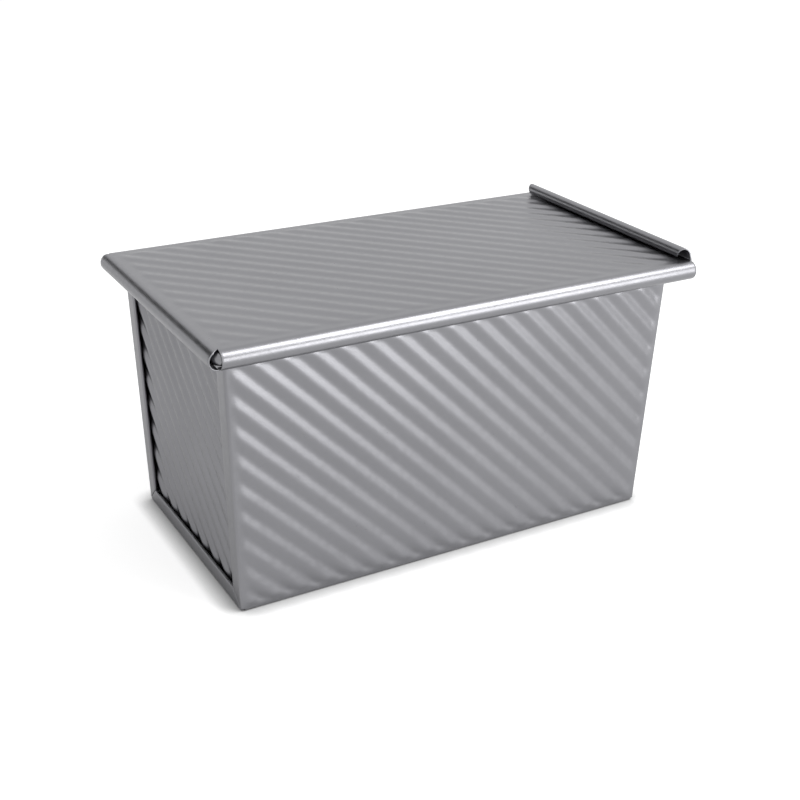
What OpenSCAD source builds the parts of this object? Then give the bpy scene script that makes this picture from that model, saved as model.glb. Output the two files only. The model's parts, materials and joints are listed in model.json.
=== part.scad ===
// Corrugated loaf pan with a flat lid that slides along the pan's wired rim.
// Sheet steel throughout: one sheet wraps round the front, the base and the back,
// two end panels close it, a wire loop stiffens the rim and the lid runs on that rim.
// The origin is the centre of the base. X runs along the pan, Y across it and Z up.

/* [Pan] */
// Outer length of the base
base_length = 191; // [150:1:340]
// Outer width of the base
base_width = 101.6; // [80:0.2:150]
// Outer length of the walls at the rim
mouth_length = 199.2; // [154:0.2:350]
// Outer width of the walls at the rim
mouth_width = 104.6; // [82:0.2:156]
// Height of the pan to the top of its rolled rim
pan_height = 112.4; // [70:0.1:140]
// Thickness of every sheet
sheet = 0.6; // [0.4:0.05:0.8]
// Outer radius of the long bends between base and walls and of the upright corners
bend_r = 1.2; // [1:0.1:2]

/* [Corrugation] */
// Distance from ridge to ridge, square across the ridges
wave_pitch = 8.15; // [6:0.05:12]
// Height from valley to ridge
wave_depth = 1.1; // [0.4:0.1:1.4]
// Length over which a ridge dies out towards a flat margin
wave_fade = 3.5; // [2:0.5:10]
// Flat margin beside the upright edges, measured from the pan's outer face
side_margin = 2.2; // [2:0.1:6]
// Flat margin above the base bends
foot_margin = 3; // [2.6:0.1:6]
// Flat margin below the top of the rim
top_margin = 8; // [6:0.5:16]
// Flat margin inside the lid's rolled edges
lid_margin = 2.5; // [1:0.5:8]
// Place of a ridge on the front wall, from the middle of the base's front edge
front_ridge = 3.5; // [0:0.1:11.5]
// Place of a ridge on each end panel, from the middle of its foot
end_ridge = 4.8; // [0:0.1:11.5]
// Place of a ridge on the lid, from its centre
lid_ridge = 7.3; // [0:0.1:11.5]

/* [End seams] */
// Width of the wrap's strip that is folded over each end
strip_width = 7.5; // [5:0.1:12]
// How far an end panel lies behind the strip's outer face
end_recess = 2.1; // [1.9:0.1:4]
// Space between the two leaves of the strip's hem
hem_gap = 0.1; // [0.05:0.05:0.3]
// Clearance between an end panel and the wrap that holds it
seam_gap = 0.1; // [0.05:0.05:0.3]
// Inside radius of the end panel's turned edge
turn_r = 0.3; // [0.2:0.05:0.6]
// Width of the slit between two strips where they meet at a lower corner
mitre_gap = 0.3; // [0.1:0.1:1]

/* [Rim] */
// Diameter of the wire in the rim
wire_d = 4; // [2.5:0.1:5]
// Clearance between the wire and the sheet rolled round it
wire_gap = 0.2; // [0.1:0.05:0.3]
// How far the wire's centre stands out from the front and back walls
rim_reach = 5; // [4.4:0.1:8]
// How far the wire's centre stands out from the strips at the ends
rim_reach_end = 3.8; // [3:0.1:8]
// Radius of the wire's centre line at the corners
rim_corner_r = 4; // [3.4:0.1:10]
// Inside radius of the bend between wall and rim
rim_bend_r = 0.9; // [0.6:0.1:1.2]
// How far the sheet is rolled round the wire, in degrees from the top
rim_wrap = 240; // [180:5:260]
// Slit between neighbouring rolled edges at a corner of the rim
rim_slit = 0.3; // [0.1:0.1:1]

/* [Lid] */
// Height of the lid's flat margin above the rim
lid_lift = 0.35; // [0.3:0.05:1]
// Play between the rolled rim and the lid's channels
lid_play = 0.45; // [0.3:0.05:1]
// How far the front and back channels are rolled, in degrees from the top
channel_wrap = 195; // [180:1:200]
// How far the end stop is rolled, in degrees from the top
stop_wrap = 180; // [150:1:190]
// Length that the end stop's roll stands past each long edge
stop_ear = 1.2; // [0:0.1:2]
// Slit between the end stop and the front and back channels
stop_slit = 0.3; // [0.1:0.1:1]
// How far the lid runs past the rim at its handle end
handle_overhang = 1.2; // [0.5:0.1:6]
// Length of the handle's foot, along the lid's end
handle_width = 117; // [60:0.5:121]
// How much shorter the handle's free edge is than its foot, at each end
handle_chamfer = 5.5; // [0:0.5:15]
// Height of the handle above the lid
handle_height = 5; // [4.6:0.1:9]
// Radius of the bend that turns the lid up into the handle, on the sheet's middle
handle_foot_r = 1; // [0.6:0.1:1.4]
// Radius of the handle's roll, on the sheet's middle
handle_roll_r = 2.1; // [1.6:0.1:2.4]
// How far the handle is rolled over, in degrees
handle_turn = 236; // [150:2:250]

/* [Hidden] */

steel = [0.62, 0.62, 0.64];
steel_end = [0.55, 0.55, 0.57];
steel_wire = [0.7, 0.7, 0.72];
steel_lid = [0.66, 0.66, 0.68];

// Facets: steps in one wave, in a quarter turn of a bend, and in the handle's roll
wave_steps = 6;
bend_steps = 3;
handle_steps = 10;
// A ridge rises in these steps: share of the fade length, share of the full height
fade_shape = [[0, 0], [1, 1]];

// How far each wall leans out for every millimetre of height, above the bends at its foot
lean_end = (mouth_length - base_length) / 2 / pan_height;
lean_side = (mouth_width - base_width) / 2 / pan_height;
function half_length(z) = base_length / 2 + lean_end * max(z, bend_r);
function half_width(z) = base_width / 2 + lean_side * max(z, bend_r);

// The rim, from the wire outwards
bead_r = wire_d / 2 + wire_gap + sheet;
wire_z = pan_height - bead_r;
wall_top = pan_height - sheet - rim_bend_r;
rim_x = half_length(pan_height) + rim_reach_end;
rim_y = half_width(pan_height) + rim_reach;

// The lid, from the rim outwards
lid_top = pan_height + lid_lift + sheet;
roll_r = bead_r + lid_play + sheet;
roll_z = lid_top - roll_r;
lid_end = rim_x + bead_r + handle_overhang;
handle_x = lid_end - sheet / 2;
lid_flat_end = handle_x - handle_foot_r;

// The hem and the place where its inner leaf stops, clear of the end panel's turned edge
hem_r = sheet + hem_gap / 2;
leaf_end = 2 * sheet + seam_gap + 0.2;

// The ridges run at 45 degrees, so one wave measures this much along a panel's edge
wave_run = wave_pitch * sqrt(2);
wave_step = wave_run / wave_steps;

// A patch of a sheet is [points, triangles]; joined() puts patches into one list
function shifted(tri, n) = [for (i = tri) i + n];
function joined(patches, i = 0, pts = [], tris = []) =
    i == len(patches) ? [pts, tris]
    : joined(patches, i + 1, concat(pts, patches[i][0]),
             concat(tris, [for (f = patches[i][1]) shifted(f, len(pts))]));
function backwards(tris) = [for (f = tris) [f[2], f[1], f[0]]];
function real_triangle(f) = f[0] != f[1] && f[1] != f[2] && f[0] != f[2];

// Points are snapped to a fine grid, so that neighbouring patches share their corner points
function snapped(p) = [for (c = p) round(c * 100000) / 100000];
module sheet_solid(patches) {
    all = joined(patches);
    polyhedron(points = [for (p = all[0]) snapped(p)], faces = all[1], convexity = 12);
}

// Triangles between a row of inner points and the straight edge from corner a to corner b.
// The row runs anticlockwise round the panel's field, as a to b does round its outline.
function margin_fan(row, a, b) =
    let (n = len(row) - 1, mid = floor(n / 2))
    concat([for (k = [0:1:mid - 1]) [a, row[k + 1], row[k]]],
           [[a, b, row[mid]]],
           [for (k = [mid:1:n - 1]) [b, row[k + 1], row[k]]]);

// Corrugated panel. place(u, v, w) puts it in space: u to the right and v up as seen from
// outside, w outwards. outline and field are [v low, v high, u left, u right, lean], where
// the sides lean out by lean for every millimetre of v. Ridges follow u + v = constant.
// open lists the sides, of bottom, right, top and left, that join on to another patch.
function panel_left(box, v) = box[2] - box[4] * v;
function panel_right(box, v) = box[3] + box[4] * v;
function panel_corners(box) = [
    [panel_left(box, box[0]), box[0]], [panel_right(box, box[0]), box[0]],
    [panel_right(box, box[1]), box[1]], [panel_left(box, box[1]), box[1]]];
function wave_cuts(from, to, ridge) =
    [for (k = [ceil((from - ridge) / wave_step + 0.25) : 1
               : floor((to - ridge) / wave_step - 0.25)]) ridge + k * wave_step];
function panel(place, outline, field, ridge, lift, open) =
    let (v0 = field[0], v1 = field[1], k = field[4],
         c_first = panel_left(field, v0) + v0,
         c_foot = panel_right(field, v0) + v0,
         c_head = panel_left(field, v1) + v1,
         c_last = panel_right(field, v1) + v1,
         c_low = min(c_foot, c_head),
         c_high = max(c_foot, c_head),
         cuts = concat(wave_cuts(c_first, c_low, ridge), [c_low],
                       wave_cuts(c_low, c_high, ridge), [c_high],
                       wave_cuts(c_high, c_last, ridge)),
         steps = 2 * len(fade_shape),
         n = len(cuts),
         ridge_points = [for (c = cuts)
             let (va = c <= c_foot ? v0 : (c - field[3]) / (1 + k),
                  vb = c >= c_head ? v1 : (c - field[2]) / (1 - k),
                  reach = min(wave_fade, (vb - va) / 2),
                  peak = wave_depth / 2 * (cos(360 * (c - ridge) / wave_run) + lift)
                         * reach / wave_fade)
             for (s = [0:steps - 1])
                 let (up = s < len(fade_shape),
                      f = fade_shape[up ? s : steps - 1 - s],
                      v = up ? va + reach * f[0] : vb - reach * f[0])
                 [c - v, v, peak * f[1]]],
         corner = panel_corners(outline),
         flat = concat([[c_first - v0, v0, 0]], ridge_points, [[c_last - v1, v1, 0]],
                       [for (p = corner) [p[0], p[1], 0]]),
         last = 1 + n * steps,
         at = function(j, s) j < 0 ? 0 : j >= n ? last : 1 + j * steps + s,
         cells = [for (j = [-1:n - 1]) for (s = [0:steps - 2])
             let (p = at(j, s), q = at(j + 1, s), r = at(j + 1, s + 1), t = at(j, s + 1))
             for (f = [[p, q, r], [p, r, t]]) if (real_triangle(f)) f],
         foot = concat([0], [for (j = [0:n - 1]) if (cuts[j] <= c_foot) at(j, 0)]),
         right = concat([for (j = [0:n - 1]) if (cuts[j] >= c_foot) at(j, 0)], [last]),
         head = concat([for (j = [0:n - 1]) if (cuts[j] >= c_head) at(j, steps - 1)], [last]),
         left = concat([0], [for (j = [0:n - 1]) if (cuts[j] <= c_head) at(j, steps - 1)]),
         turned = function(row) [for (i = [len(row) - 1:-1:0]) row[i]],
         a = last + 1,
         skin = concat(cells, margin_fan(foot, a, a + 1), margin_fan(right, a + 1, a + 2),
                       margin_fan(turned(head), a + 2, a + 3), margin_fan(turned(left), a + 3, a)),
         count = len(flat),
         walls = [for (i = [0:3]) if (!open[i])
             let (p = a + i, q = a + (i + 1) % 4)
             for (f = [[p, q, q + count], [p, q + count, p + count]]) f])
    [concat([for (p = flat) place(p[0], p[1], p[2])],
            [for (p = flat) place(p[0], p[1], p[2] - sheet)]),
     concat(backwards(skin), [for (f = skin) shifted(f, count)], walls)];

// Folded strip. rows is a list of rows of [outer point, inner point]; closed says which of
// first row, last row, first column and last column end free. flip turns the faces round.
function folded(rows, closed, flip) =
    let (m = len(rows), n = len(rows[0]), count = m * n,
         at = function(i, k) i * n + k,
         skin = [for (i = [0:m - 2]) for (k = [0:n - 2])
             for (f = [[at(i, k), at(i + 1, k), at(i + 1, k + 1)],
                       [at(i, k), at(i + 1, k + 1), at(i, k + 1)]]) f],
         edges = concat(
             closed[0] ? [for (k = [0:n - 2]) [at(0, k + 1), at(0, k)]] : [],
             closed[1] ? [for (k = [0:n - 2]) [at(m - 1, k), at(m - 1, k + 1)]] : [],
             closed[2] ? [for (i = [0:m - 2]) [at(i, 0), at(i + 1, 0)]] : [],
             closed[3] ? [for (i = [0:m - 2]) [at(i + 1, n - 1), at(i, n - 1)]] : []),
         tris = concat(skin, [for (f = backwards(skin)) shifted(f, count)],
                       [for (e = edges) for (f = [[e[0], e[0] + count, e[1] + count],
                                                  [e[0], e[1] + count, e[1]]]) f]))
    [concat([for (r = rows) for (p = r) p[0]], [for (r = rows) for (p = r) p[1]]),
     flip ? backwards(tris) : tris];

// Section of the wrap's folded edge as [depth from the outer face, way in from the corner]:
// round the corner, along the strip, round the hem and back along the inner leaf
strip_section = concat(
    [for (i = [0:bend_steps]) let (t = 90 * i / bend_steps)
        [[bend_r * (1 - sin(t)), bend_r * (1 - cos(t))],
         [bend_r - (bend_r - sheet) * sin(t), bend_r - (bend_r - sheet) * cos(t)]]],
    [for (i = [0:2 * bend_steps]) let (t = 90 * i / bend_steps)
        [[hem_r * (1 - cos(t)), strip_width + hem_r * (sin(t) - 1)],
         [hem_r - (hem_r - sheet) * cos(t), strip_width - hem_r + (hem_r - sheet) * sin(t)]]],
    [[[2 * hem_r, leaf_end], [2 * hem_r - sheet, leaf_end]]]);
function mitre(way_in) = max(bend_r, way_in + mitre_gap / 2);

// Upright strip at the corner on side sx of X and side sy of Y
function upright_point(sx, sy, p, z) =
    [sx * (half_length(z) - p[0]), sy * (half_width(z) - p[1]), z];
function upright_strip(sx, sy) = folded(
    [for (high = [false, true]) [for (pair = strip_section)
        [for (p = pair) upright_point(sx, sy, p, high ? wall_top : mitre(p[1]))]]],
    [true, true, false, true], sx * sy > 0);

// Strip turned up from the base at the end on side sx
function foot_point(sx, sy, p) =
    [sx * (half_length(p[1]) - p[0]), sy * (half_width(p[1]) - mitre(p[1])), p[1]];
function foot_strip(sx) = folded(
    [for (sy = [-1, 1]) [for (pair = strip_section) [for (p = pair) foot_point(sx, sy, p)]]],
    [true, true, false, true], sx > 0);

// Long bend between the base and the wall on side sy
function long_bend(sy) = folded(
    [for (sx = [-1, 1]) [for (i = [0:bend_steps]) let (t = 90 * i / bend_steps)
        [for (r = [bend_r, bend_r - sheet])
            [sx * (half_length(bend_r) - bend_r),
             sy * (half_width(bend_r) - bend_r + r * cos(t)), bend_r - r * sin(t)]]]],
    [true, true, false, false], sy > 0);

// Places of the wrap's three panels
place_front = function(u, v, w) [u, -half_width(v) - w, v];
place_back = function(u, v, w) [-u, half_width(v) + w, v];
place_base = function(u, v, w) [-u, v, -w];
wall_outline = [bend_r, wall_top, bend_r - base_length / 2, base_length / 2 - bend_r, lean_end];
wall_field = [foot_margin, pan_height - top_margin, side_margin - base_length / 2,
              base_length / 2 - side_margin, lean_end];
base_u = half_length(bend_r);
base_v = half_width(bend_r);
base_outline = [bend_r - base_v, base_v - bend_r, bend_r - base_u, base_u - bend_r, 0];
base_inset = end_recess + sheet + wave_depth + 0.6;
base_field = [foot_margin - base_v, base_v - foot_margin, base_inset - base_u, base_u - base_inset, 0];

// Quarter, half or longer roll of sheet about the X axis, from angle a to angle b.
// Angles run from +Y up to +Z, and r is the outer radius.
module roll(r, a, b, length) {
    rotate([90, 0, 90])
        rotate([0, 0, a])
            translate([0, 0, -length / 2])
                rotate_extrude(angle = b - a, $fn = 48)
                    translate([r - sheet, 0])
                        square([sheet, length]);
}

// Rim of one wall along X at y = -wall_y: outward bend, flange and roll round the wire
module rolled_rim(wall_y, wire_y, flange_length, roll_length) {
    translate([0, -wall_y - rim_bend_r, wall_top])
        roll(rim_bend_r + sheet, 0, 90, flange_length);
    translate([-flange_length / 2, -wire_y, pan_height - sheet])
        cube([flange_length, wire_y - wall_y - rim_bend_r, sheet]);
    translate([0, -wire_y, wire_z])
        roll(bead_r, 90, 90 + rim_wrap, roll_length);
}

module wrap_rim() {
    rolled_rim(half_width(wall_top), rim_y, 2 * (half_length(wall_top) - bend_r),
               2 * (rim_x - rim_corner_r - rim_slit));
}

// One sheet that forms the front, the base and the back, folded over both ends
module body_wrap() {
    color(steel) union() {
        sheet_solid(concat(
            [panel(place_front, wall_outline, wall_field, front_ridge, 0,
                   [true, true, false, true]),
             panel(place_back, wall_outline, wall_field, -front_ridge - base_width, 0,
                   [true, true, false, true]),
             panel(place_base, base_outline, base_field, -front_ridge - base_width / 2, -1,
                   [true, true, true, true])],
            [for (sy = [-1, 1]) long_bend(sy)],
            [for (sx = [-1, 1]) foot_strip(sx)],
            [for (sx = [-1, 1]) for (sy = [-1, 1]) upright_strip(sx, sy)]));
        wrap_rim();
        rotate([0, 0, 180]) wrap_rim();
    }
}

// End panel, drawn for the end at -X. Its flat part is u_edge wide at the foot and its
// three turned edges reach out to the back of the wrap's strips.
place_end = function(u, v, w) [end_recess - half_length(v) - w, -u, v];
turn_reach = turn_r + sheet;
end_foot = sheet + seam_gap + turn_reach;
u_edge = base_width / 2 - end_foot;
end_outline = [end_foot, wall_top, -u_edge, u_edge, lean_side];
end_field = [foot_margin + sheet, pan_height - top_margin, side_margin - base_width / 2,
             base_width / 2 - side_margin, lean_side];
turned_section = concat(
    [for (i = [0:bend_steps]) let (t = 90 * i / bend_steps)
        [for (r = [turn_r, turn_reach]) [r * sin(t), turn_r - r * cos(t)]]],
    [[for (r = [turn_r, turn_reach]) [r, end_recess - sheet - seam_gap]]]);
function end_side(s) = folded(
    [for (v = [end_foot, wall_top]) [for (pair = turned_section)
        [for (p = pair) place_end(s * (u_edge + lean_side * v + p[0]), v, p[1])]]],
    [true, true, false, true], s < 0);
end_turned_foot = folded(
    [for (s = [-1, 1]) [for (pair = turned_section)
        [for (p = pair) place_end(s * (u_edge + lean_side * end_foot), end_foot - p[0], p[1])]]],
    [true, true, false, true], false);

// Rolled edge round one corner of the rim, on the end panel's sheet
module rim_corner() {
    translate([rim_x - rim_corner_r, rim_y - rim_corner_r, wire_z])
        rotate_extrude(angle = 90, $fn = 48)
            translate([rim_corner_r, 0])
                difference() {
                    circle(r = bead_r, $fn = 48);
                    circle(r = bead_r - sheet, $fn = 48);
                    rotate([0, 0, 180 - (360 - rim_wrap) + 90])
                        square([2 * bead_r, 2 * bead_r]);
                }
}

module end_panel() {
    panel_half = u_edge + lean_side * wall_top;
    sheet_solid([panel(place_end, end_outline, end_field, end_ridge, 0,
                       [true, true, false, true]),
                 end_side(-1), end_side(1), end_turned_foot]);
    rotate([0, 0, -90])
        rolled_rim(half_length(wall_top) - end_recess, rim_x, 2 * panel_half,
                   2 * (rim_y - rim_corner_r));
    for (s = [-1, 1]) scale([-1, s, 1]) rim_corner();
}

module left_end_panel() {
    color(steel_end) end_panel();
}

module right_end_panel() {
    color(steel_end) rotate([0, 0, 180]) end_panel();
}

// Wire loop inside the rolled rim
module rim_wire() {
    run_x = rim_x - rim_corner_r;
    run_y = rim_y - rim_corner_r;
    color(steel_wire) translate([0, 0, wire_z]) {
        for (s = [-1, 1]) {
            translate([-run_x, s * rim_y, 0]) rotate([0, 90, 0])
                cylinder(d = wire_d, h = 2 * run_x, $fn = 48);
            translate([s * rim_x, -run_y, 0]) rotate([-90, 0, 0])
                cylinder(d = wire_d, h = 2 * run_y, $fn = 48);
        }
        for (turn = [0:3])
            translate([turn == 0 || turn == 3 ? run_x : -run_x, turn < 2 ? run_y : -run_y, 0])
                rotate([0, 0, 90 * turn])
                    rotate_extrude(angle = 90, $fn = 48)
                        translate([rim_corner_r, 0]) circle(d = wire_d, $fn = 48);
    }
}

// Stations of the handle's section: [x, z, outward x, outward z, length so far]. The lid's
// end bends up and is then rolled over, back towards the pan.
roll_x = handle_x - handle_roll_r;
handle_roll_z = lid_top + handle_height - sheet / 2 - handle_roll_r;
foot_run = handle_foot_r * PI / 2;
rise_run = handle_roll_z - (lid_top - sheet / 2 + handle_foot_r);
handle_run = foot_run + rise_run + handle_roll_r * PI * handle_turn / 180;
handle_section = concat(
    [for (i = [0:bend_steps]) let (t = 90 * i / bend_steps)
        [lid_flat_end + handle_foot_r * sin(t),
         lid_top - sheet / 2 + handle_foot_r * (1 - cos(t)), sin(t), -cos(t), foot_run * t / 90]],
    [for (i = [0:handle_steps]) let (t = handle_turn * i / handle_steps)
        [roll_x + handle_roll_r * cos(t), handle_roll_z + handle_roll_r * sin(t), cos(t), sin(t),
         foot_run + rise_run + handle_roll_r * PI * t / 180]]);
handle = folded(
    [for (s = [-1, 1]) [for (q = handle_section)
        let (y = s * (handle_width / 2 - handle_chamfer * q[4] / handle_run))
        [for (side = [sheet / 2, -sheet / 2]) [q[0] + side * q[2], y, q[1] + side * q[3]]]]],
    [true, true, true, true], true);

place_lid = function(u, v, w) [u, v, lid_top + w];
lid_outline = [-rim_y, rim_y, -rim_x, lid_flat_end, 0];
lid_field = [lid_margin - rim_y, rim_y - lid_margin, lid_margin - rim_x,
             lid_flat_end - lid_margin, 0];

// Channel along one long edge of the lid, drawn for the edge at -Y
module lid_channel() {
    start = stop_slit - rim_x;
    translate([(start + lid_end) / 2, -rim_y, roll_z])
        roll(roll_r, 90, 90 + channel_wrap, lid_end - start);
}

module sliding_lid() {
    color(steel_lid) union() {
        sheet_solid([panel(place_lid, lid_outline, lid_field, lid_ridge, 1,
                           [false, false, false, false])]);
        lid_channel();
        mirror([0, 1, 0]) lid_channel();
        translate([-rim_x, 0, roll_z]) rotate([0, 0, -90])
            roll(roll_r, 90, 90 + stop_wrap, 2 * (rim_y + stop_ear));
        sheet_solid([handle]);
    }
}

body_wrap();
left_end_panel();
right_end_panel();
rim_wire();
sliding_lid();
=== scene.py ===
# %% [markdown]
# The tin's real sizes and the joint on which its lid slides are already settled, in a model of
# five solids. It is loaded first and never moved. Each piece made below stands for one of those
# solids and lies exactly where it is.

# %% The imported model
import json
import math
import bpy
import numpy as np
from mathutils import Matrix, Vector


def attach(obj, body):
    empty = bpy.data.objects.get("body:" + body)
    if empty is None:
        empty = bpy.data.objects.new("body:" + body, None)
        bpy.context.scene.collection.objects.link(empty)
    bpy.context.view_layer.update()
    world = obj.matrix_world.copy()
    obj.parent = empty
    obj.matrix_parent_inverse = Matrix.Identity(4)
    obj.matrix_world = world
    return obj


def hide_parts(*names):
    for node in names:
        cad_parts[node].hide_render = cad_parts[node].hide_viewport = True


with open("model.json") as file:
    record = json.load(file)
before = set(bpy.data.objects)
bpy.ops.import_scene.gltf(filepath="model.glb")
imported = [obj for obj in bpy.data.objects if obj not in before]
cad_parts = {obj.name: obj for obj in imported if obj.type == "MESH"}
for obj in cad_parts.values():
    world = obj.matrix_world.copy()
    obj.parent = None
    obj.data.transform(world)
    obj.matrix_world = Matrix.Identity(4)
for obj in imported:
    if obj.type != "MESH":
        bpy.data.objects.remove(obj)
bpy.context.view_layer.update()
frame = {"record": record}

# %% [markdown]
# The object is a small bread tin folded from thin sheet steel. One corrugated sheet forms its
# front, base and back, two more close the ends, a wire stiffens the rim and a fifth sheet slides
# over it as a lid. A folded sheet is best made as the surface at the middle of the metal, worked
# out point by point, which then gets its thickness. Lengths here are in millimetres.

MM = 0.001
SHEET = 0.6
MIDDLE = SHEET / 2
BASE_LENGTH, BASE_WIDTH = 191.0, 101.6
MOUTH_LENGTH, MOUTH_WIDTH = 199.2, 104.6
PAN_HEIGHT = 112.4
BEND_R = 1.2
RIM_BEND_R = 0.9
WALL_TOP = PAN_HEIGHT - SHEET - RIM_BEND_R
LEAN_END = (MOUTH_LENGTH - BASE_LENGTH) / 2 / PAN_HEIGHT
LEAN_SIDE = (MOUTH_WIDTH - BASE_WIDTH) / 2 / PAN_HEIGHT


def half_length(z):
    """Half the pan's outer length at height z: it grows by a fixed share of the height."""
    return BASE_LENGTH / 2 + LEAN_END * np.maximum(z, BEND_R)


def half_width(z):
    """Half the pan's outer width at height z."""
    return BASE_WIDTH / 2 + LEAN_SIDE * np.maximum(z, BEND_R)


# %% [markdown]
# The rim is an edge rolled round a wire, and the lid's channels are rolled round the rim with a
# little room to slide. So every roll is one circle about the wire's centre line, and its radius
# is the last one's plus a gap and the sheet.

# %% The rim and the lid round it
WIRE_D = 4.0
WIRE_GAP, LID_GAP, CHANNEL_GAP, END_GAP = 0.2, 0.35, 0.45, 1.2
END_OVERHANG, SIDE_OVERHANG = 3.8, 5.0
RIM_CORNER = 4.0
CORNER_GAP = 0.3
RIM_WRAP, RIM_STEPS = 240, 20
BEAD_R = WIRE_D / 2 + WIRE_GAP + SHEET
WIRE_Z = PAN_HEIGHT - BEAD_R
RIM_X = half_length(PAN_HEIGHT) + END_OVERHANG
RIM_Y = half_width(PAN_HEIGHT) + SIDE_OVERHANG
LID_TOP = PAN_HEIGHT + LID_GAP + SHEET
ROLL_R = BEAD_R + CHANNEL_GAP + SHEET
ROLL_Z = LID_TOP - ROLL_R
LID_END = RIM_X + BEAD_R + END_GAP
print("rim centre line at", round(float(RIM_X), 2), round(float(RIM_Y), 2), "lid top", LID_TOP)

# %% [markdown]
# The corrugation is pressed into every sheet before folding. Its ridges run at 45 degrees, with
# equal flanks and small round crests, and die out towards flat margins. A rounded zigzag is the
# arc sine of a slightly lowered cosine: the less it is lowered, the sharper the crest. The fade
# at the margins is a smooth step of the distance to the nearest one.

# %% The corrugation
WAVE_RUN = 8.15 * math.sqrt(2)
WAVE_DEPTH = 1.1
WAVE_FADE = 2.4
SHARP, SOFT = 0.998, 0.85
FRONT_RIDGE, END_RIDGE, LID_RIDGE = 3.5, 4.8, 7.3
SIDE_MARGIN, FOOT_MARGIN, TOP_MARGIN, LID_MARGIN = 1.8, 2.0, 8.0, 2.5


def ripple(run, ridge, crest=SHARP):
    """Rounded zigzag from -1 to 1: arcsin(crest cos(turn)) over its own peak."""
    turn = 2 * np.pi * (run - ridge) / WAVE_RUN
    return np.arcsin(crest * np.cos(turn)) / math.asin(crest)


def fade(distance):
    """0 outside a field, then a smooth step up to 1 over WAVE_FADE."""
    t = np.clip(distance / WAVE_FADE, 0, 1)
    return t * t * (3 - 2 * t)


# %% [markdown]
# A fold is drawn as a section: straight stretches joined by arcs. Three helpers are enough to
# write any of them down in the order in which the sheet is bent.

# %% Sections
def arc(centre, radius, start, stop, steps):
    """Points centre + radius (cos t, sin t) for t from start to stop, in degrees."""
    t = np.radians(np.linspace(start, stop, steps + 1))
    return np.stack([centre[0] + radius * np.cos(t), centre[1] + radius * np.sin(t)], 1)


def line(a, b, step):
    """Evenly spaced points from a to b, no further apart than step."""
    n = max(1, int(np.ceil(np.hypot(*np.subtract(b, a)) / step)))
    t = np.linspace(0, 1, n + 1)[:, None]
    return np.asarray(a) * (1 - t) + np.asarray(b) * t


def chain(*parts):
    """Joins stretches of a section, leaving out the point that two neighbours share."""
    return np.concatenate([parts[0]] + [p[1:] for p in parts[1:]])


# %% [markdown]
# Every piece is one mesh made from grids. Grids that meet share their edge points, so these
# are merged by position, the faces are turned one way, and a Solidify modifier gives the metal
# its thickness on both sides of the middle surface. A fine bevel takes the sharp edge off.

# %% Grids to meshes
MERGE_DIGITS = 3
EDGE_BEVEL, EDGE_ANGLE = 0.1, 60


def grid_faces(rows, columns, first):
    """Four-cornered faces of a grid whose points are numbered row by row from first."""
    i = np.arange((rows - 1) * columns).reshape(rows - 1, columns)[:, :-1].ravel() + first
    return np.stack([i, i + 1, i + columns + 1, i + columns], 1)


def merged(grids):
    """Points and faces of all grids, with points at one place merged and flattened faces gone."""
    points, faces, count = [], [], 0
    for grid in grids:
        rows, columns, _ = grid.shape
        points.append(grid.reshape(-1, 3))
        faces.append(grid_faces(rows, columns, count))
        count += rows * columns
    points = np.concatenate(points)
    _, first, where = np.unique(np.round(points, MERGE_DIGITS), axis=0,
                                return_index=True, return_inverse=True)
    faces = where.ravel()[np.concatenate(faces)]
    corners_differ = (np.diff(np.sort(faces, 1), axis=1) > 0).all(1)
    return points[first], faces[corners_differ]


def mesh_object(name, points, faces):
    """A smooth mesh of four-cornered faces, all turned the same way."""
    mesh = bpy.data.meshes.new(name)
    mesh.vertices.add(len(points))
    mesh.vertices.foreach_set("co", (points * MM).ravel())
    mesh.loops.add(faces.size)
    mesh.loops.foreach_set("vertex_index", faces.ravel().astype(np.int32))
    mesh.polygons.add(len(faces))
    mesh.polygons.foreach_set("loop_start", np.arange(0, faces.size, 4, dtype=np.int32))
    mesh.polygons.foreach_set("use_smooth", np.ones(len(faces), bool))
    mesh.update(calc_edges=True)
    mesh.validate()
    obj = bpy.data.objects.new(name, mesh)
    bpy.context.scene.collection.objects.link(obj)
    bpy.context.view_layer.objects.active = obj
    bpy.ops.object.mode_set(mode="EDIT")
    bpy.ops.mesh.select_all(action="SELECT")
    bpy.ops.mesh.normals_make_consistent(inside=False)
    bpy.ops.object.mode_set(mode="OBJECT")
    return obj


def piece(name, grids, node, material, thick=SHEET):
    """One piece of grids, each an array (rows, columns, 3) in millimetres, in place of a node."""
    points, faces = merged(grids)
    obj = mesh_object(name, points, faces)
    obj.data.materials.append(material)
    if thick:
        solid = obj.modifiers.new("thickness", "SOLIDIFY")
        solid.thickness = thick * MM
        solid.offset = 0
        edge = obj.modifiers.new("edge", "BEVEL")
        edge.width = EDGE_BEVEL * MM
        edge.segments = 2
        edge.limit_method = "ANGLE"
        edge.angle_limit = math.radians(EDGE_ANGLE)
    body = next(b for b, nodes in frame["record"]["behaviour"]["bodies"].items() if node in nodes)
    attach(obj, body)
    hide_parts(node)
    print(name, "points", len(points), "faces", len(faces), "rides on", body)


# %% [markdown]
# A finish is a shader, and a shader's sums are easiest to read as Python expressions. So a small
# class wraps a number's socket and adds a Math node for every operator that is used on it.

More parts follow.
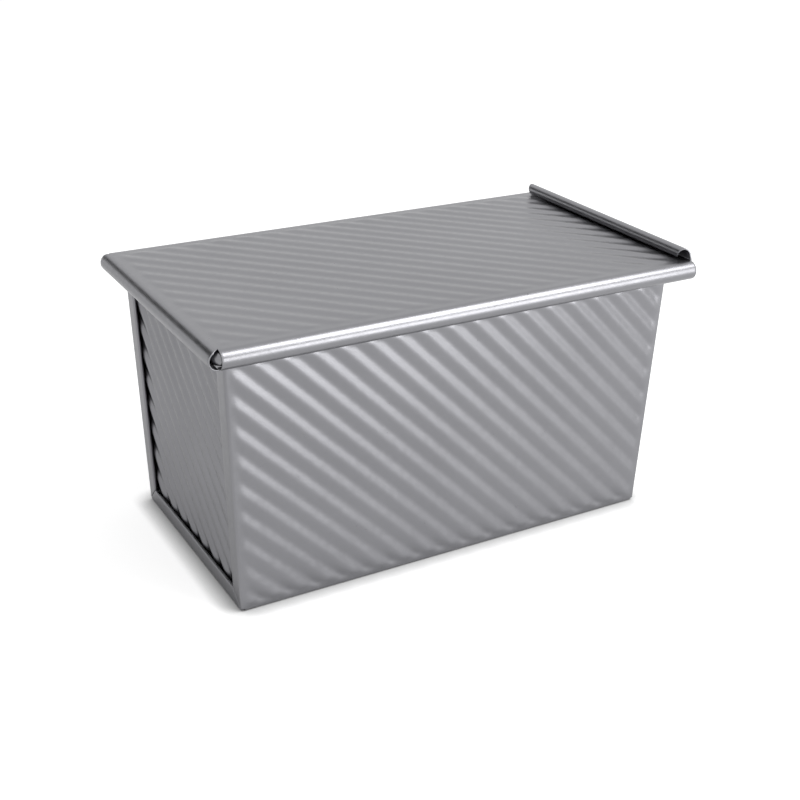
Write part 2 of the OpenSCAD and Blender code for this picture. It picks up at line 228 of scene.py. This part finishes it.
# %% Shader expressions
class Value:
    """A number socket on which +, - and * add Math nodes."""

    def __init__(self, tree, socket):
        self.tree = tree
        self.socket = socket

    def maths(self, operation, a, b):
        """Adds one Math node on two sockets or numbers and gives its result."""
        node = self.tree.nodes.new("ShaderNodeMath")
        node.operation = operation
        for place, item in zip(node.inputs, (a, b)):
            if isinstance(item, Value):
                self.tree.links.new(item.socket, place)
            else:
                place.default_value = item
        return Value(self.tree, node.outputs[0])

    def __add__(self, other):
        return self.maths("ADD", self, other)

    def __sub__(self, other):
        return self.maths("SUBTRACT", self, other)

    def __rsub__(self, other):
        return self.maths("SUBTRACT", other, self)

    def __mul__(self, other):
        return self.maths("MULTIPLY", self, other)

    __radd__ = __add__
    __rmul__ = __mul__


def add_node(tree, kind, settings, **inputs):
    """Adds a node, sets its settings first, then its sockets' values or links."""
    node = tree.nodes.new(kind)
    for key, value in settings.items():
        setattr(node, key, value)
    for key, value in inputs.items():
        socket = node.inputs[key.replace("_", " ")]
        if isinstance(value, Value):
            tree.links.new(value.socket, socket)
        elif isinstance(value, bpy.types.NodeSocket):
            tree.links.new(value, socket)
        else:
            socket.default_value = value
    return node


# %% [markdown]
# The metal is satin aluminized steel: a pale grey with a soft sheen, faint cloudy patches and a
# fine grain. Three noises of different size are enough: the widest one clouds the colour, the
# next also changes the roughness, and the two finest give the grain its relief.

# %% The steel
CLOUDS, MOTTLE, GRAIN = 22.0, 420.0, 2600.0
GRAIN_HEIGHT = 0.04
# The Mix node's colour sockets share their names with its number sockets, so they go by place.
COLOUR_A, COLOUR_B, COLOUR_OUT = 6, 7, 2


def noise(tree, where, scale, detail):
    """A noise of the given scale, per metre, on the object's own coordinates."""
    made = add_node(tree, "ShaderNodeTexNoise", {}, Vector=where, Scale=scale, Detail=detail)
    return Value(tree, made.outputs[0])


def metal(name, dark, light, rough, rough_change, relief):
    """Sheet or wire steel: colour between dark and light, cloudy roughness and a grain."""
    material = bpy.data.materials.new(name)
    material.use_nodes = True
    tree = material.node_tree
    tree.nodes.clear()
    place = add_node(tree, "ShaderNodeTexCoord", {}).outputs["Object"]
    clouds = noise(tree, place, CLOUDS, 3.0)
    mottle = noise(tree, place, MOTTLE, 2.0)
    fine = noise(tree, place, GRAIN, 2.0)
    tone = clouds * 0.6 + mottle * 0.25 + fine * 0.15
    colour = add_node(tree, "ShaderNodeMix", {"data_type": "RGBA"}, Factor=tone)
    colour.inputs[COLOUR_A].default_value = (*dark, 1)
    colour.inputs[COLOUR_B].default_value = (*light, 1)
    bump = add_node(tree, "ShaderNodeBump", {}, Strength=relief, Distance=GRAIN_HEIGHT * MM,
                    Height=mottle * 0.7 + fine * 0.3)
    shader = add_node(tree, "ShaderNodeBsdfPrincipled", {}, Metallic=1.0,
                      Roughness=rough + (mottle - 0.5) * rough_change,
                      Base_Color=colour.outputs[COLOUR_OUT], Normal=bump.outputs[0])
    add_node(tree, "ShaderNodeOutputMaterial", {}, Surface=shader.outputs[0])
    print(name, "has", len(tree.nodes), "nodes")
    return material


steel = metal("satin_steel", (0.225, 0.225, 0.239), (0.287, 0.287, 0.302), 0.33, 0.2, 0.6)
wire_steel = metal("wire_steel", (0.45, 0.45, 0.45), (0.6, 0.6, 0.6), 0.25, 0.05, 0.2)

# %% [markdown]
# The long sheet is a section in Y and Z carried along X. The section starts inside the rim's
# roll, comes over the flange and down the wall and crosses the base to its middle. The back half
# is the same section mirrored. Each point of it also has the half length of the sheet at that
# height. The wave is added square to the sheet, on walls both ways and on the base only inwards,
# so the tin stands flat.

# %% The wrap's section
GRID_STEP = WAVE_RUN / 11
FLANGE_STEP = 2.5
BEND_STEPS = 6
JOIN = 0.5
END_RECESS = 2.1
BASE_EDGE = 0.6
FLANGE_END = half_length(WALL_TOP) - BEND_R
WALL_PART, BASE_PART = 3, 5


def half_section():
    """Stretches (y, z) of the front half: roll, flange, bend, wall, bend and base."""
    wall_top_y = -half_width(WALL_TOP)
    wall_foot_y = -half_width(BEND_R)
    return [
        arc((-RIM_Y, WIRE_Z), BEAD_R - MIDDLE, 90 + RIM_WRAP, 90, RIM_STEPS),
        line((-RIM_Y, PAN_HEIGHT - MIDDLE), (wall_top_y - RIM_BEND_R, PAN_HEIGHT - MIDDLE),
             FLANGE_STEP),
        arc((wall_top_y - RIM_BEND_R, WALL_TOP), RIM_BEND_R + MIDDLE, 90, 0, BEND_STEPS),
        line((wall_top_y + MIDDLE, WALL_TOP), (wall_foot_y + MIDDLE, BEND_R), GRID_STEP),
        arc((wall_foot_y + BEND_R, BEND_R), BEND_R - MIDDLE, 180, 270, BEND_STEPS),
        line((wall_foot_y + BEND_R, MIDDLE), (0, MIDDLE), GRID_STEP)]


def lengths(parts):
    """Half length of the sheet at each point: the roll is longest and the walls lean."""
    roll = np.full(len(parts[0]), RIM_X - RIM_CORNER - CORNER_GAP)
    flange = np.full(len(parts[1]) - 1, FLANGE_END - JOIN)
    rest = half_length(chain(*parts)[len(roll) + len(flange):, 1]) - BEND_R - JOIN
    rest = np.minimum(rest, FLANGE_END - JOIN)
    return np.concatenate([roll, flange, rest])


def wrap_half(side):
    """Grid x = half length times -1..1 on half of the section, plus the wave square to it."""
    parts = half_section()
    section = chain(*parts)
    across = np.linspace(-1, 1, int(2 * half_length(0) / GRID_STEP) + 1)
    x = lengths(parts)[:, None] * across[None, :]
    y = np.repeat(section[:, :1], len(across), 1) * -side
    z = np.repeat(section[:, 1:], len(across), 1)
    inside = half_length(z) - SIDE_MARGIN - abs(x)
    wall = fade(np.minimum(np.minimum(inside, z - FOOT_MARGIN), PAN_HEIGHT - TOP_MARGIN - z))
    ridge = FRONT_RIDGE if side < 0 else -FRONT_RIDGE - BASE_WIDTH
    outward = WAVE_DEPTH / 2 * wall * ripple(z - side * x, ridge)
    inset = half_length(0) - END_RECESS - SHEET - WAVE_DEPTH - BASE_EDGE - abs(x)
    base = fade(np.minimum(inset, half_width(0) - FOOT_MARGIN - abs(y))) * (z < BEND_R)
    rise = WAVE_DEPTH / 2 * base * (1 - ripple(y - x, -FRONT_RIDGE - BASE_WIDTH / 2))
    return np.stack([x, y + side * outward, z + rise], 2)


# %% [markdown]
# At each end the long sheet is folded over into a narrow strip, and the strip's free edge is
# turned back on itself in a closed hem. The same section, round the corner, along the strip,
# round the hem and back, runs up both upright corners and along the foot.

# %% The folded end strips
STRIP_WIDTH = 7.5
HEM_GAP, LEAF_GAP = 0.1, 0.3
HEM_R = SHEET + HEM_GAP / 2
LEAF_END = 2 * SHEET + LEAF_GAP
MITRE = 0.2
CORNER_STEPS, HEM_STEPS = 8, 12
STRIP_STEP, LEAF_STEP = 1.5, 2.0


def strip_section():
    """(depth behind the strip's face, way in from the corner) along the middle of the metal."""
    corner = arc((BEND_R, BEND_R), BEND_R - MIDDLE, 270, 180, CORNER_STEPS)
    hem = arc((HEM_R, STRIP_WIDTH - HEM_R), HEM_R - MIDDLE, 180, 0, HEM_STEPS)
    return chain(line((BEND_R + JOIN, MIDDLE), (BEND_R, MIDDLE), JOIN), corner,
                 line(corner[-1], hem[0], STRIP_STEP), hem,
                 line(hem[-1], (hem[-1][0], LEAF_END), LEAF_STEP))


def upright_strip(sx, sy):
    """The section at every height of the wall's own grid, from the mitre to the rim."""
    depth, way_in = strip_section().T
    foot = np.maximum(BEND_R, way_in + MITRE)
    t = ((half_section()[WALL_PART][:, 1] - BEND_R) / (WALL_TOP - BEND_R))[:, None]
    z = foot[None, :] * (1 - t) + WALL_TOP * t
    return np.stack([sx * (half_length(z) - depth), sy * (half_width(z) - way_in), z], 2)


def foot_strip(sx, sy):
    """The section along half the foot of one end, mitred at the corner."""
    depth, way_in = strip_section().T
    reach = half_width(way_in) - np.maximum(BEND_R, way_in + MITRE)
    t = (sy * abs(half_section()[BASE_PART][:, 0]) / (half_width(BEND_R) - BEND_R))[:, None]
    return np.stack([sx * (half_length(way_in) - depth) + 0 * t, reach * t, way_in + 0 * t], 2)


for side, name in ((-1, "front"), (1, "back")):
    strips = [make(sx, side) for make in (upright_strip, foot_strip) for sx in (-1, 1)]
    piece("wrap_" + name, [wrap_half(side)] + strips, "body_wrap", steel)

# %% [markdown]
# An end panel lies a little behind the strips. Its sides and foot are turned outwards and tuck
# in behind the strips' hems, and its top edge goes over the wire, round both corners too.

# %% The end panels
SEAM_GAP = 0.1
TURN_R = 0.3
TURN_REACH = TURN_R + SHEET
TURN_END = END_RECESS - SHEET - SEAM_GAP
TURN_STEPS, TURN_ROWS = 5, 41
END_FOOT = SHEET + SEAM_GAP + TURN_REACH
U_EDGE = BASE_WIDTH / 2 - END_FOOT
FINE_STEP = WAVE_RUN / 12
END_FLANGE_STEP = 2.0
QUARTER_ROWS = 13


def end_place(s, u, v, w):
    """Point u to the right, v up and w out from the panel's outer face, at the end s."""
    return np.stack([s * (half_length(v) - END_RECESS + w), s * u, v + 0 * u], 2)


def end_face(s):
    """The panel's flat with its wave, then the bend, the flange and the roll at its top."""
    v = np.linspace(END_FOOT, WALL_TOP, int((WALL_TOP - END_FOOT) / FINE_STEP) + 1)[:, None]
    across = np.linspace(-1, 1, int(2 * U_EDGE / FINE_STEP) + 1)[None, :]
    u = (U_EDGE + LEAN_SIDE * v) * across
    side = half_width(v) - SIDE_MARGIN - abs(u)
    low = v - FOOT_MARGIN - SHEET
    wave = fade(np.minimum(np.minimum(side, low), PAN_HEIGHT - TOP_MARGIN - v))
    w = WAVE_DEPTH / 2 * wave * ripple(u + v, END_RIDGE, SOFT) - MIDDLE
    face = end_place(s, u, v + 0 * u, w)
    bend_x = half_length(WALL_TOP) - END_RECESS + RIM_BEND_R
    top = chain(arc((bend_x, WALL_TOP), RIM_BEND_R + MIDDLE, 180, 90, BEND_STEPS),
                line((bend_x, PAN_HEIGHT - MIDDLE), (RIM_X, PAN_HEIGHT - MIDDLE),
                     END_FLANGE_STEP),
                arc((RIM_X, WIRE_Z), BEAD_R - MIDDLE, 90, 90 - RIM_WRAP, RIM_STEPS))
    reach = np.full(len(top), U_EDGE + LEAN_SIDE * WALL_TOP)
    reach[-RIM_STEPS:] = RIM_Y - RIM_CORNER
    rim = np.stack([s * top[:, :1] + 0 * across, s * reach[:, None] * across,
                    top[:, 1:] + 0 * across], 2)
    return np.concatenate([face, rim[1:]])


def end_turned(s, side):
    """The edge turned outwards on one side (-1, 1) or at the foot (0)."""
    bend = arc((0, TURN_R), TURN_R + MIDDLE, 270, 360, TURN_STEPS)
    out, w = chain(bend, line(bend[-1], (bend[-1][0], TURN_END), 1.0)).T
    if side:
        v = np.linspace(END_FOOT, WALL_TOP, TURN_ROWS)[:, None]
        u = side * (U_EDGE + LEAN_SIDE * v + out[None, :])
        return end_place(s, u, v + 0 * u, w[None, :] + 0 * u)
    u = np.linspace(-1, 1, TURN_ROWS)[:, None] * (U_EDGE + LEAN_SIDE * END_FOOT) + 0 * out[None, :]
    x = half_length(END_FOOT) - END_RECESS + w[None, :]
    return np.stack([s * x + 0 * u, s * u, END_FOOT - out[None, :] + 0 * u], 2)


def rim_corner(sx, sy):
    """The roll carried round a quarter circle at one corner of the rim."""
    turn = np.radians(np.linspace(0, 90, QUARTER_ROWS))[:, None]
    ring = arc((RIM_CORNER, WIRE_Z), BEAD_R - MIDDLE, 90, 90 - RIM_WRAP, RIM_STEPS)
    x = RIM_X - RIM_CORNER + ring[None, :, 0] * np.cos(turn)
    y = RIM_Y - RIM_CORNER + ring[None, :, 0] * np.sin(turn)
    return np.stack([sx * x, sy * y, ring[None, :, 1] + 0 * x], 2)


for s, name in ((-1, "left"), (1, "right")):
    grids = [end_face(s)] + [end_turned(s, side) for side in (-1, 0, 1)]
    grids += [rim_corner(s, sy) for sy in (-1, 1)]
    piece(name + "_end_sheet", grids, name + "_end_panel", steel)

# %% [markdown]
# The wire is a round bar bent into one closed loop, hidden but for the open corners. A circle
# is carried along a rounded rectangle, which is closed on itself.

# %% The rim wire
WIRE_TURN_POINTS, WIRE_SIDES = 9, 24


def wire_path():
    """Centre line and outward direction: four quarter turns joined by straight runs."""
    t = np.radians(np.linspace(0, 90, WIRE_TURN_POINTS))
    centre, out = [], []
    for turn, (sx, sy) in enumerate(((1, 1), (-1, 1), (-1, -1), (1, -1))):
        a = t + turn * math.pi / 2
        corner = np.array([sx * (RIM_X - RIM_CORNER), sy * (RIM_Y - RIM_CORNER)])
        out.append(np.stack([np.cos(a), np.sin(a)], 1))
        centre.append(corner + RIM_CORNER * out[-1])
    return np.concatenate(centre + [centre[0][:1]]), np.concatenate(out + [out[0][:1]])


def wire_tube():
    """Circle of the wire's radius in the plane of the outward direction and Z."""
    centre, out = wire_path()
    t = np.linspace(0, 2 * np.pi, WIRE_SIDES + 1)[None, :]
    r = WIRE_D / 2
    flat = centre[:, None, :] + r * np.cos(t)[:, :, None] * out[:, None, :]
    return np.concatenate([flat, (WIRE_Z + r * np.sin(t) + 0 * flat[:, :, 0])[:, :, None]], 2)


piece("wire_loop", [wire_tube()], "rim_wire", wire_steel, thick=0)

# %% [markdown]
# The lid is a flat corrugated sheet. Its long edges are rolled down and under into channels
# that run on the rim, its left edge is rolled down as a stop, and its right edge is rolled up
# and over as a handle, whose ends are cut back at a slant.

# %% The lid
LID_WAVE = 0.4
ROLL_STEPS = 18
CHANNEL_WRAP, STOP_WRAP = 195, 180
STOP_OVERHANG, STOP_WIDENING = 1.2, 4
HANDLE_FOOT_R, HANDLE_ROLL_R, HANDLE_TURN = 1.0, 2.1, 236.0
HANDLE_RISE, HANDLE_HALF, HANDLE_CHAMFER = 5.0, 58.5, 5.5
HANDLE_STEPS = 26
LID_FLAT_END = LID_END - MIDDLE - HANDLE_FOOT_R
LID_PLANE = LID_TOP - MIDDLE
LID_Y = np.linspace(-RIM_Y + JOIN, RIM_Y - JOIN, int(2 * RIM_Y / FINE_STEP) + 1)
LID_X = np.linspace(-RIM_X + JOIN, LID_FLAT_END - JOIN,
                    int((RIM_X + LID_FLAT_END) / FINE_STEP) + 1)


def lid_face():
    """The flat with its wave standing up from the sheet."""
    x, y = LID_X[None, :], LID_Y[:, None]
    side = np.minimum(x + RIM_X, LID_FLAT_END - x) - LID_MARGIN
    wave = fade(np.minimum(side, RIM_Y - LID_MARGIN - abs(y)))
    z = LID_PLANE + LID_WAVE / 2 * wave * (1 + ripple(x + y, LID_RIDGE, SOFT))
    return np.stack([x + 0 * y, y + 0 * x, z], 2)


def lid_channel(s):
    """Roll of one long edge: a short flat, then round the outside and under."""
    section = chain(line((RIM_Y - JOIN, LID_PLANE), (RIM_Y, LID_PLANE), JOIN),
                    arc((RIM_Y, ROLL_Z), ROLL_R - MIDDLE, 90, 90 - CHANNEL_WRAP, ROLL_STEPS))
    whole = np.linspace(-RIM_X + CORNER_GAP, LID_END, len(LID_X))[:, None]
    x = np.where(np.arange(len(section)) == 0, LID_X[:, None], whole)
    return np.stack([x, s * section[None, :, 0] + 0 * x, section[None, :, 1] + 0 * x], 2)


def lid_stop():
    """Roll of the left edge: a short flat, then half a turn down, widening as it starts."""
    section = chain(line((RIM_X - JOIN, LID_PLANE), (RIM_X, LID_PLANE), JOIN),
                    arc((RIM_X, ROLL_Z), ROLL_R - MIDDLE, 90, 90 - STOP_WRAP, ROLL_STEPS))
    y = (LID_Y / LID_Y[-1])[:, None]
    reach = np.interp(np.arange(len(section)), [0, 1, STOP_WIDENING],
                      [RIM_Y - JOIN, RIM_Y, RIM_Y + STOP_OVERHANG])[None, :]
    return np.stack([-section[None, :, 0] + 0 * y, reach * y, section[None, :, 1] + 0 * y], 2)


def lid_handle():
    """The right edge bent up, then rolled over; its half width falls evenly along the sheet."""
    x = LID_END - MIDDLE
    z = LID_TOP + HANDLE_RISE - MIDDLE - HANDLE_ROLL_R
    section = chain(line((LID_FLAT_END - JOIN, LID_PLANE), (LID_FLAT_END, LID_PLANE), JOIN),
                    arc((LID_FLAT_END, LID_PLANE + HANDLE_FOOT_R), HANDLE_FOOT_R,
                        270, 360, BEND_STEPS),
                    line((x, LID_PLANE + HANDLE_FOOT_R), (x, z), 0.5),
                    arc((x - HANDLE_ROLL_R, z), HANDLE_ROLL_R, 0, HANDLE_TURN, HANDLE_STEPS))
    run = np.concatenate([[0], np.cumsum(np.hypot(*np.diff(section, axis=0).T))])
    reach = HANDLE_HALF - HANDLE_CHAMFER * run / run[-1]
    reach[0] = RIM_Y - JOIN
    y = (LID_Y / LID_Y[-1])[:, None] * reach[None, :]
    return np.stack([section[None, :, 0] + 0 * y, y, section[None, :, 1] + 0 * y], 2)


lid_grids = [lid_face(), lid_channel(-1), lid_channel(1), lid_stop(), lid_handle()]
piece("lid_sheet", lid_grids, "sliding_lid", steel)

# %% [markdown]
# The tin is photographed on white from its front left, a little above. The camera's place and
# turn were found from the tin's own edges. A pixel focal length on an image 800 pixels wide is
# a lens in millimetres once it is scaled to the sensor.

# %% The camera
FOCAL_PIXELS, IMAGE_PIXELS, SENSOR = 1290.6, 800, 36.0
CAMERA_AT = (-252.635, -439.304, 283.727)
YAW, PITCH, ROLL = 0.526, 0.434, 0.021


def camera_turn():
    """Columns right, up and back: look along yaw and pitch, then roll about that line."""
    level = math.cos(PITCH)
    look = Vector((math.sin(YAW) * level, math.cos(YAW) * level, -math.sin(PITCH)))
    right = Vector((math.cos(YAW), -math.sin(YAW), 0))
    up = right.cross(look)
    c, s = math.cos(ROLL), math.sin(ROLL)
    return Matrix([c * right + s * up, c * up - s * right, -look]).transposed()


scene = bpy.context.scene
lens = bpy.data.cameras.new("camera")
lens.sensor_width = SENSOR
lens.lens = FOCAL_PIXELS / IMAGE_PIXELS * SENSOR
lens.clip_start, lens.clip_end = 0.01, 20
camera = bpy.data.objects.new("camera", lens)
camera.matrix_world = Matrix.Translation(Vector(CAMERA_AT) * MM) @ camera_turn().to_4x4()
scene.collection.objects.link(camera)
scene.camera = camera
print("lens", round(lens.lens, 2), "mm")

# %% [markdown]
# Satin metal shows the room, so the lamps are large and soft: one above the front right, and a
# broad low one to the right of the camera. They are the only lamps, and the white room around
# fills the shadows.

# %% The lamps
def lamp(name, at, aim, size, power):
    """Area lamp at a place in metres, turned to face aim; size is (width, height)."""
    light = bpy.data.lights.new(name, "AREA")
    light.shape = "RECTANGLE"
    light.size, light.size_y = size
    light.energy = power
    obj = bpy.data.objects.new(name, light)
    obj.location = at
    obj.rotation_euler = (Vector(aim) - Vector(at)).to_track_quat("-Z", "Y").to_euler()
    scene.collection.objects.link(obj)


lamp("overhead", (0.5, -0.46, 0.95), (0, 0, 0.1), (0.65, 0.65), 8)
lamp("front_right", (0.36, -0.7, 0.2), (-0.03, -0.05, 0.06), (0.6, 0.38), 2.7)

# %% [markdown]
# The room is white to the camera and in the metal by a light of its own, because more lamplight
# would burn out the tin. The floor adds a glow to what the lamps give it, so that it reaches
# white and still takes the tin's real shadow. On top of that, a contact shadow is painted into
# the glow: it falls off in the last 9 mm before the tin, where an ambient occlusion node finds
# the sky blocked, and the metal shows this painted shade in its reflections of the floor too.
# A dark card at the back left gives the metal something to reflect.

# %% Floor and background
FLOOR_HALF = 1.6
FLOOR_GREY, CARD_GREY = 0.5, 0.05
FLOOR_GLOW, FLOOR_MIRRORED = 0.72, 0.42
SHADE_REACH = 0.009
ROOM_LEVEL = 0.8
CARD_LEFT, CARD_RIGHT, CARD_LOW, CARD_HIGH = (-1.8, 0.4), (-0.3, 1.2), 0.35, 1.3


def white_to_camera(tree, strength, mirrored):
    """strength for camera and transmission rays, mirrored for glossy ones, 0 for the rest."""
    path = add_node(tree, "ShaderNodeLightPath", {})
    seen, gloss, through = [Value(tree, path.outputs["Is " + ray + " Ray"])
                            for ray in ("Camera", "Glossy", "Transmission")]
    return (seen + through) * strength + gloss * mirrored


def studio_sheet(name, corners, grey):
    """A flat dull sheet of the studio; gives its object, its node tree and its shader."""
    paint = bpy.data.materials.new(name + "_paint")
    paint.use_nodes = True
    shader = paint.node_tree.nodes["Principled BSDF"]
    shader.inputs["Base Color"].default_value = (grey, grey, grey, 1)
    shader.inputs["Roughness"].default_value = 1
    mesh = bpy.data.meshes.new(name)
    mesh.from_pydata(corners, [], [(0, 1, 2, 3)])
    mesh.materials.append(paint)
    obj = bpy.data.objects.new(name, mesh)
    scene.collection.objects.link(obj)
    return obj, paint.node_tree, shader


SQUARE = ((-1, -1), (1, -1), (1, 1), (-1, 1))
floor_corners = [(x * FLOOR_HALF, y * FLOOR_HALF, 0) for x, y in SQUARE]
floor, floor_tree, floor_shader = studio_sheet("floor", floor_corners, FLOOR_GREY)
floor_shader.inputs["Specular IOR Level"].default_value = 0
floor_shader.inputs["Emission Color"].default_value = (1, 1, 1, 1)
# Painted contact shadow: ambient occlusion darkens the floor's glow, for camera and glossy rays,
# within 9 mm of the tin.
near = add_node(floor_tree, "ShaderNodeAmbientOcclusion", {"samples": 16}, Distance=SHADE_REACH)
open_sky = Value(floor_tree, near.outputs["AO"])
glow_with_painted_shadow = white_to_camera(floor_tree, FLOOR_GLOW, FLOOR_MIRRORED) * open_sky * open_sky * open_sky
floor_tree.links.new(glow_with_painted_shadow.socket, floor_shader.inputs["Emission Strength"])

card_corners = [(*CARD_LEFT, CARD_LOW), (*CARD_RIGHT, CARD_LOW), (*CARD_RIGHT, CARD_HIGH),
                (*CARD_LEFT, CARD_HIGH)]
card = studio_sheet("dark_card", card_corners, CARD_GREY)[0]
card.visible_camera = False
card.visible_shadow = False

room = bpy.data.worlds.new("room")
scene.world = room
room.use_nodes = True
sky = room.node_tree.nodes["Background"]
sky.inputs["Color"].default_value = (1, 1, 1, 1)
shown = white_to_camera(room.node_tree, 1 - ROOM_LEVEL, 1 - ROOM_LEVEL)
room.node_tree.links.new((shown + ROOM_LEVEL).socket, sky.inputs["Strength"])
scene.view_settings.view_transform = "Standard"
